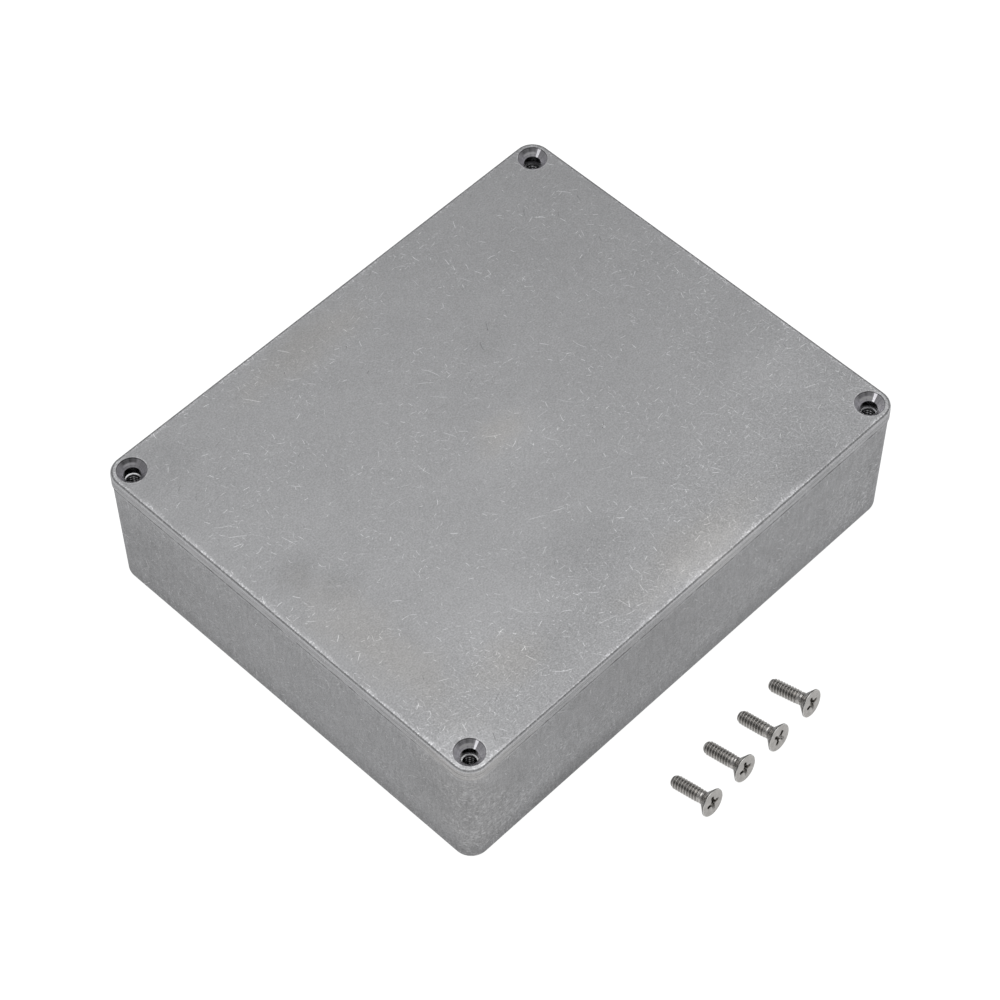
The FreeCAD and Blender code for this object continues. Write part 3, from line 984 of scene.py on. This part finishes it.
def countersink_tone(tree, y, z, axis, rings, left_hole, in_bore):
    """Tone of the turned cone: rings and facets, painted light and shade unlike in each hole, a patch of
    painted shade over a painted bright arc, a dark lip at the step and painted shade in the bore.
    """
    radius = axis["Radius"]
    facets = tree.noise(tree.scaled(axis["Direction"], 2.2), 1.0, detail=2.0, roughness=0.6)
    tone = tree.times(tree.ramp(facets, 0.3, 0.7, 0.75, 1.2), tree.ramp(rings, 0.3, 0.7, 0.8, 1.2))
    # Painted light and shade: the near holes' cones lighter, the back left one darker.
    near_holes = tree.math("LESS_THAN", y, 0.0)
    tone = tree.times(tone, tree.times_plus(near_holes, 0.16, tree.times_plus(left_hole, -0.12, 1.0)))
    # Painted shade in a patch beside the streak, and a painted bright arc under it.
    in_patch = tree.ramp(tree.vector("DOT_PRODUCT", axis["Direction"], SHADE_PATCH_DIRECTION), 0.75, 0.92)
    beside = tree.times(in_patch, tree.ramp(radius, SINK_R - 0.9, SINK_R - 0.6))
    under = tree.times(in_patch, tree.ramp(radius, SINK_R - 1.3, SINK_R - 1.1))
    under = tree.times(under, tree.ramp(radius, SINK_R - 0.75, SINK_R - 0.95))
    tone = tree.times_plus(under, 0.3, tree.times_plus(beside, -0.45, tone))
    lip = tree.ramp(z, LID_TOP_Z - SINK_STEP - 0.22, LID_TOP_Z - SINK_STEP - 0.05)
    # Painted shade in the bore; the step's lip darker as well.
    return tree.times(tone, tree.times_plus(in_bore, -0.75, tree.times_plus(lip, -0.5, 1.0)))


def lid_material():
    material, tree, shader, place, facing = new_material("cast_lid")
    x, y, z = tree.parts(place)
    up = tree.parts(facing)[2]
    near_side = tree.ramp(y, *NEAR_SIDE)
    right_end = tree.ramp(tree.minus(x, y), *RIGHT_END)
    busy = tree.times_plus(near_side, 0.9, tree.times_plus(right_end, 0.7, 0.5))
    grain = tree.times_plus(near_side, 0.12, tree.times_plus(right_end, 0.06, LID_GRAIN))
    tone, grain_height, bright = casting_tone(tree, place, facing, busy, grain, LID_MOTTLE)
    # Worn and stained places, with painted light and shade of the falloff across the top.
    tone = smudged_top(tree, place, tone, LID_SMUDGES_AND_FALLOFF)

    near_top = tree.ramp(z, LID_TOP_Z - 0.55, LID_TOP_Z - 0.3)
    on_band = tree.ramp(up, 0.35, 0.1)
    near_corner = smudge(tree, place, *NEAR_CORNER)
    axis = tree.group(SCREW_AXIS, place=place)
    worn, tone = worn_rim(tree, place, near_top, tone)
    tone = lid_edge(tree, place, up, on_band, near_corner, tone)
    tone = burred(tree, place, axis["Radius"], near_top, tone)
    warmth = smudged_top(tree, place, 0.0, LID_WARM_PLACES)
    warmth = tree.plus(warmth, tree.times(near_corner, on_band))
    cast = tree.scaled(tree.mix(warmth, CAST_GREY, CAST_WARM), tone)

    on_cone = tree.ramp(axis["Radius"], SINK_R + 0.05, SINK_R - 0.03)
    in_sink = tree.times(on_cone, tree.ramp(z, LID_TOP_Z - 0.02, LID_TOP_Z - 0.08))
    in_bore = tree.ramp(z, BORE_TOP_Z + 0.05, BORE_TOP_Z - 0.05)
    left_hole = at_back_hole(tree, x, y, -1.0)
    rings = tree.noise(tree.joined(axis["Radius"], 0.0), 5.0, detail=2.0, roughness=0.6)
    cut_tone = countersink_tone(tree, y, z, axis, rings, left_hole, in_bore)
    tree.feed(shader.inputs["Base Color"], tree.mix(in_sink, cast, tree.scaled(CUT_METAL, cut_tone)))
    shader.inputs["Metallic"].default_value = 1.0
    rough = tree.minus(LID_ROUGHNESS, tree.times(tree.plus(worn, bright), SMOOTHER_IN_MARKS))
    cut_rough = tree.times_plus(in_bore, BORE_SMOOTHER, CUT_ROUGHNESS)
    tree.feed(shader.inputs["Roughness"], tree.mix(in_sink, rough, cut_rough))

    streak = tree.ramp(tree.vector("DOT_PRODUCT", axis["Direction"], STREAK_DIRECTION), 0.989, 0.9995)
    streak = tree.times(streak, tree.times_plus(left_hole, -0.8, 1.0))
    lift = tree.times(streak, in_sink, STREAK_LIFT, tree.minus(1.0, in_bore))
    normal = grain_bump(tree, tree.mix(in_sink, grain_height, rings))
    tree.feed(shader.inputs["Normal"], leaned(tree, normal, (0.0, 0.0, 1.0, 1.0), lift))
    return material


# The base: how much darker its foot is, how much lighter the strip below the seam, how far down the painted
# light and shade of the tapped holes goes, the heights between which thread crests turn bright, how far a
# bright mouth leans the normal, and its roughness
FOOT_DARKER = -0.18
STRIP_LIGHTER = 0.14
TAP_GOES_DOWN = 17.0
BRIGHT_THREADS = (29.0, 31.0)
MOUTH_LEAN = 0.9
MOUTH_ROUGHNESS = 0.22


def wall_tone(tree, place, mottled, near_corner, tone):
    """The tone with streaks, blotches, darker places, a darker foot, and the seam with painted shadow over a
    lighter strip.
    """
    x, y, z = tree.parts(place)
    streaks = tree.noise(tree.joined(x, y, tree.times(z, 0.14)), 1.3, detail=3.0, roughness=0.6)
    tone = tree.times_plus(tree.swing(streaks), 0.2, tree.plus(tone, WALL_LIGHTER))
    blotches = tree.ramp(tree.noise(place, 0.75, detail=3.0, roughness=0.65), 0.46, 0.68)
    tone = tree.times_plus(tree.times(blotches, tree.times_plus(mottled, 0.75, 0.25)), 0.36, tone)
    tone = smudged(tree, place, tone, WALL_SMUDGES)
    tone = tree.plus(tone, tree.ramp(z, 1.0, 9.0, FOOT_DARKER, 0.0))
    strip = tree.times(tree.ramp(z, SEAM_Z - 1.6, SEAM_Z - 0.7), STRIP_LIGHTER)
    # The seam's dark joint with painted shadow under the lid's overhang.
    seam = seam_line_and_shadow(tree, place, SEAM_Z, 0.5, near_corner)
    return tree.times(tree.plus(tone, strip), tree.times_plus(seam, -0.75, 1.0))


def mouth_shine(tree, place, in_tap, mouth, crest):
    """How bright the thread mouths and crests are: unlike in each hole, as the light falls in."""
    x, y, z = tree.parts(place)
    left_hole = at_back_hole(tree, x, y, -1.0)
    far_hole = at_back_hole(tree, x, y, 1.0)
    lip_share = tree.times_plus(left_hole, 0.35, tree.times_plus(far_hole, -0.3, 0.35))
    tap_share = tree.times_plus(left_hole, -0.5, tree.times_plus(far_hole, -0.75, 0.85))
    crests = tree.times(in_tap, tree.ramp(crest, 0.9, 0.99), tree.ramp(z, *BRIGHT_THREADS), tap_share)
    return tree.times(tree.math("MAXIMUM", tree.times(mouth, lip_share), crests), MOUTH_LEAN)


def base_material():
    material, tree, shader, place, facing = new_material("cast_base")
    z = tree.parts(place)[2]
    mottled = 0.0
    for middle, reach in WALL_MOTTLING:
        mottled = tree.plus(smudge(tree, place, middle, reach), mottled, clamp=True)
    busy = tree.times_plus(mottled, 0.8, 0.75)
    near_corner = smudge(tree, place, *NEAR_CORNER)
    tone, grain_height, bright = casting_tone(tree, place, facing, busy, WALL_GRAIN, WALL_MOTTLE)
    tone = wall_tone(tree, place, mottled, near_corner, tone)

    axis = tree.group(SCREW_AXIS, place=place)
    radius = axis["Radius"]
    in_tap = tree.times(
        tree.ramp(radius, 2.0, 1.9), tree.ramp(z, SEAM_Z + 0.01, SEAM_Z - 0.03),
        tree.ramp(z, SEAM_Z - TAP_GOES_DOWN, SEAM_Z - TAP_GOES_DOWN + 1.0),
    )
    mouth = tree.times(tree.ramp(radius, 2.3, 2.1), tree.ramp(z, SEAM_Z - 0.14, SEAM_Z - 0.06))
    crest = tree.add("ShaderNodeAttribute", attribute_name="groove").outputs["Fac"]
    # Painted highlight on the crests of the tapped threads and painted shade, nearly black, in their roots.
    painted_thread_light = tree.ramp(crest, 0.6, 0.98, 0.12, 1.6)
    # The mouth of each tapped hole lighter: fresh-cut metal with a painted highlight.
    tone = tree.times_plus(mouth, 0.6, tree.mix(in_tap, tone, painted_thread_light))
    cast = tree.mix(tree.times(near_corner, 0.35), CAST_GREY, CAST_WARM)
    tree.feed(shader.inputs["Base Color"], tree.scaled(cast, tone))
    shader.inputs["Metallic"].default_value = 1.0
    rough = tree.minus(WALL_ROUGHNESS, tree.times(bright, SMOOTHER_IN_MARKS))
    in_hole = tree.math("MAXIMUM", in_tap, mouth)
    tree.feed(shader.inputs["Roughness"], tree.mix(in_hole, rough, MOUTH_ROUGHNESS))

    inward = tree.vector("ADD", tree.scaled(axis["Direction"], -0.5), (0.0, 0.0, 0.85))
    shine = mouth_shine(tree, place, in_tap, mouth, crest)
    tree.feed(shader.inputs["Normal"], leaned(tree, grain_bump(tree, grain_height), inward, shine))
    return material


# The screws: colour, how much darker the face is than the shank, how much lighter a painted highlight makes
# its rim and painted light the recess, the painted shade under the head, and roughness
STEEL = (0.69, 0.67, 0.645)
FACE_DARKER = -0.16
RIM_PAINTED_HIGHLIGHT = 0.3
RECESS_PAINTED_LIGHT = 0.5
UNDER_HEAD_PAINTED_SHADE = (-0.74, -0.3)
STEEL_ROUGHNESS = (0.16, 0.26)


def steel_material():
    material, tree, shader, _, _ = new_material("rolled_steel")
    own = tree.add("ShaderNodeAttribute", attribute_name="own_place").outputs["Vector"]
    groove = tree.add("ShaderNodeAttribute", attribute_name="groove").outputs["Fac"]
    grain = tree.noise(own, 3.5, detail=2.0, roughness=0.6)
    patch = tree.noise(own, 0.8, detail=2.0)
    tone = tree.plus(tree.ramp(grain, 0.25, 0.75, 0.92, 1.08), tree.ramp(patch, 0.3, 0.7, -0.08, 0.08))
    # Painted highlight on the thread's crests and painted shade in its roots.
    tone = tree.times(tone, tree.ramp(groove, 0.15, 0.85, 1.22, 0.48))
    along, y, z = tree.parts(own)
    radius = tree.vector("LENGTH", tree.joined(y, z))
    bevel = SCREW_FORM["Head edge bevel"]
    cone_end = SCREW_FORM["Head land"] + SCREW_FORM["Head radius"] - SCREW_FORM["Neck radius"]
    on_face = tree.times(tree.ramp(along, bevel, 0.02), tree.ramp(radius, 3.5, 3.4))
    rim = tree.times(tree.ramp(radius, 3.42, 3.52), tree.ramp(along, 0.3, 0.2))
    under_head = tree.times(tree.ramp(along, bevel, bevel + 0.1), tree.ramp(along, cone_end + 0.3, cone_end))
    in_recess = tree.times(
        tree.ramp(along, 0.02, 0.3), tree.ramp(radius, 2.4, 2.2), tree.ramp(along, 2.4, 2.1)
    )
    # Painted highlight on the rim of the head; the face darker.
    tone = tree.times_plus(on_face, FACE_DARKER, tree.times_plus(rim, RIM_PAINTED_HIGHLIGHT, tone))
    # Painted shade under the head, uneven.
    shade = tree.ramp(tree.noise(own, 2.2, detail=2.0), 0.48, 0.62, *UNDER_HEAD_PAINTED_SHADE)
    tone = tree.times(tone, tree.times_plus(under_head, shade, 1.0))
    # Painted light in the recess.
    tone = tree.times(tone, tree.times_plus(in_recess, RECESS_PAINTED_LIGHT, 1.0))
    tree.feed(shader.inputs["Base Color"], tree.scaled(STEEL, tone))
    shader.inputs["Metallic"].default_value = 1.0
    tree.feed(shader.inputs["Roughness"], tree.ramp(grain, 0.3, 0.7, *STEEL_ROUGHNESS))
    bump = tree.add("ShaderNodeBump", {"Strength": 0.25, "Distance": 0.00003, "Height": grain})
    tree.feed(shader.inputs["Normal"], bump.outputs["Normal"])
    return material


# Studio: a pale floor, a softbox above and behind the box, and a surround with a dark belt above the
# horizon. The floor and the surround look white to the camera and shine less on the metal. Seen from
# below, the floor is clear. The floor's half and the softbox are in metres, the gap in millimetres.
FLOOR_HALF = 3.0
FLOOR_GAP = 0.02
FLOOR_ALBEDO = (0.294, 0.306)
FLOOR_GLOW = 0.385
FLOOR_GLOW_SEEN = 0.96
SOFTBOX_DISTANCE = 0.9
SOFTBOX_SIZE = (1.1, 0.9)
SOFTBOX_ELEVATION_DEG = 76.0
SOFTBOX_WATTS = 1.9
WORLD_HORIZON = 0.42
WORLD_BELT = 0.20
WORLD_OVERHEAD = 0.48
HORIZON_UP_TO_DEG = 4.0
BELT_FROM_DEG = 17.0
BELT_UP_TO_DEG = 44.0
OVERHEAD_FROM_DEG = 60.0
WORLD_BACKDROP = 1.0
WHITE = (1.0, 1.0, 1.0, 1.0)


def floor_material():
    material, tree, shader, place, _ = new_material("pale_floor")
    albedo = tree.ramp(tree.noise(place, 0.02, detail=2.0), 0.3, 0.7, *FLOOR_ALBEDO)
    tree.feed(shader.inputs["Base Color"], tree.joined(albedo, albedo, albedo))
    shader.inputs["Roughness"].default_value = 0.9
    shader.inputs["Specular IOR Level"].default_value = 0.1
    shader.inputs["Emission Color"].default_value = WHITE
    seen = tree.add("ShaderNodeLightPath").outputs["Is Camera Ray"]
    tree.feed(shader.inputs["Emission Strength"], tree.mix(seen, FLOOR_GLOW, FLOOR_GLOW_SEEN))
    from_below = tree.times(seen, tree.add("ShaderNodeNewGeometry").outputs["Backfacing"])
    tree.feed(shader.inputs["Alpha"], tree.minus(1.0, from_below))
    return material


def toward(azimuth_deg, elevation_deg):
    """The direction from the object to a camera or light at this azimuth and elevation."""
    azimuth = math.radians(azimuth_deg)
    elevation = math.radians(elevation_deg)
    return Vector((
        math.sin(azimuth) * math.cos(elevation),
        -math.cos(azimuth) * math.cos(elevation),
        math.sin(elevation),
    ))


def add_camera():
    data = bpy.data.cameras.new("camera")
    camera = bpy.data.objects.new("camera", data)
    bpy.context.scene.collection.objects.link(camera)
    back = toward(CAMERA_AZIMUTH_DEG, CAMERA_ELEVATION_DEG)
    azimuth = math.radians(CAMERA_AZIMUTH_DEG)
    right = Vector((math.cos(azimuth), math.sin(azimuth), 0.0))
    level = Matrix((right, back.cross(right), back)).transposed()
    roll = Matrix.Rotation(math.radians(CAMERA_ROLL_DEG), 3, "Z")
    place = (CAMERA_TARGET + back * CAMERA_DISTANCE) * MM
    camera.matrix_world = Matrix.LocRotScale(place, level @ roll, None)
    data.sensor_width = CAMERA_SENSOR
    data.lens = CAMERA_LENS
    data.clip_start = 0.01
    bpy.context.scene.camera = camera


def add_floor():
    mesh = bpy.data.meshes.new("floor")
    shape = bmesh.new()
    bmesh.ops.create_grid(shape, x_segments=1, y_segments=1, size=FLOOR_HALF)
    shape.to_mesh(mesh)
    shape.free()
    floor = bpy.data.objects.new("floor", mesh)
    bpy.context.scene.collection.objects.link(floor)
    floor.data.materials.append(floor_material())
    floor.location.z = -FLOOR_GAP * MM


def add_softbox():
    data = bpy.data.lights.new("overhead_softbox", "AREA")
    data.shape = "RECTANGLE"
    data.size, data.size_y = SOFTBOX_SIZE
    data.energy = SOFTBOX_WATTS
    light = bpy.data.objects.new("overhead_softbox", data)
    bpy.context.scene.collection.objects.link(light)
    direction = toward(CAMERA_AZIMUTH_DEG + 180.0, SOFTBOX_ELEVATION_DEG)
    light.location = direction * SOFTBOX_DISTANCE
    light.rotation_mode = "QUATERNION"
    light.rotation_quaternion = direction.to_track_quat("Z", "Y")
    light.visible_camera = False


def add_surround():
    world = bpy.data.worlds.new("studio")
    world.use_nodes = True
    world.node_tree.nodes.clear()
    tree = Tree(world.node_tree)
    height = tree.parts(tree.add("ShaderNodeTexCoord").outputs["Generated"])[2]
    low, belt_from, belt_to, high = (
        math.sin(math.radians(angle))
        for angle in (HORIZON_UP_TO_DEG, BELT_FROM_DEG, BELT_UP_TO_DEG, OVERHEAD_FROM_DEG)
    )
    above = tree.ramp(height, belt_to, high, WORLD_BELT, WORLD_OVERHEAD)
    surround = tree.mix(tree.ramp(height, low, belt_from), WORLD_HORIZON, above)
    seen = tree.add("ShaderNodeLightPath").outputs["Is Camera Ray"]
    level = tree.mix(seen, surround, WORLD_BACKDROP)
    shader = tree.add("ShaderNodeBackground", {"Color": WHITE, "Strength": level})
    tree.add("ShaderNodeOutputWorld", {"Surface": shader.outputs["Background"]})
    bpy.context.scene.world = world
    bpy.context.scene.view_settings.view_transform = "Standard"


def dress(node, material):
    """Gives a node of the frame its finished material."""
    mesh = frame["nodes"][node].data
    mesh.materials.clear()
    mesh.materials.append(material)


add_camera()
add_floor()
add_softbox()
add_surround()
thread = thread_group()
dress("box_lid", lid_material())
add_tapped_base(thread, base_material())
add_screws(thread, steel_material())
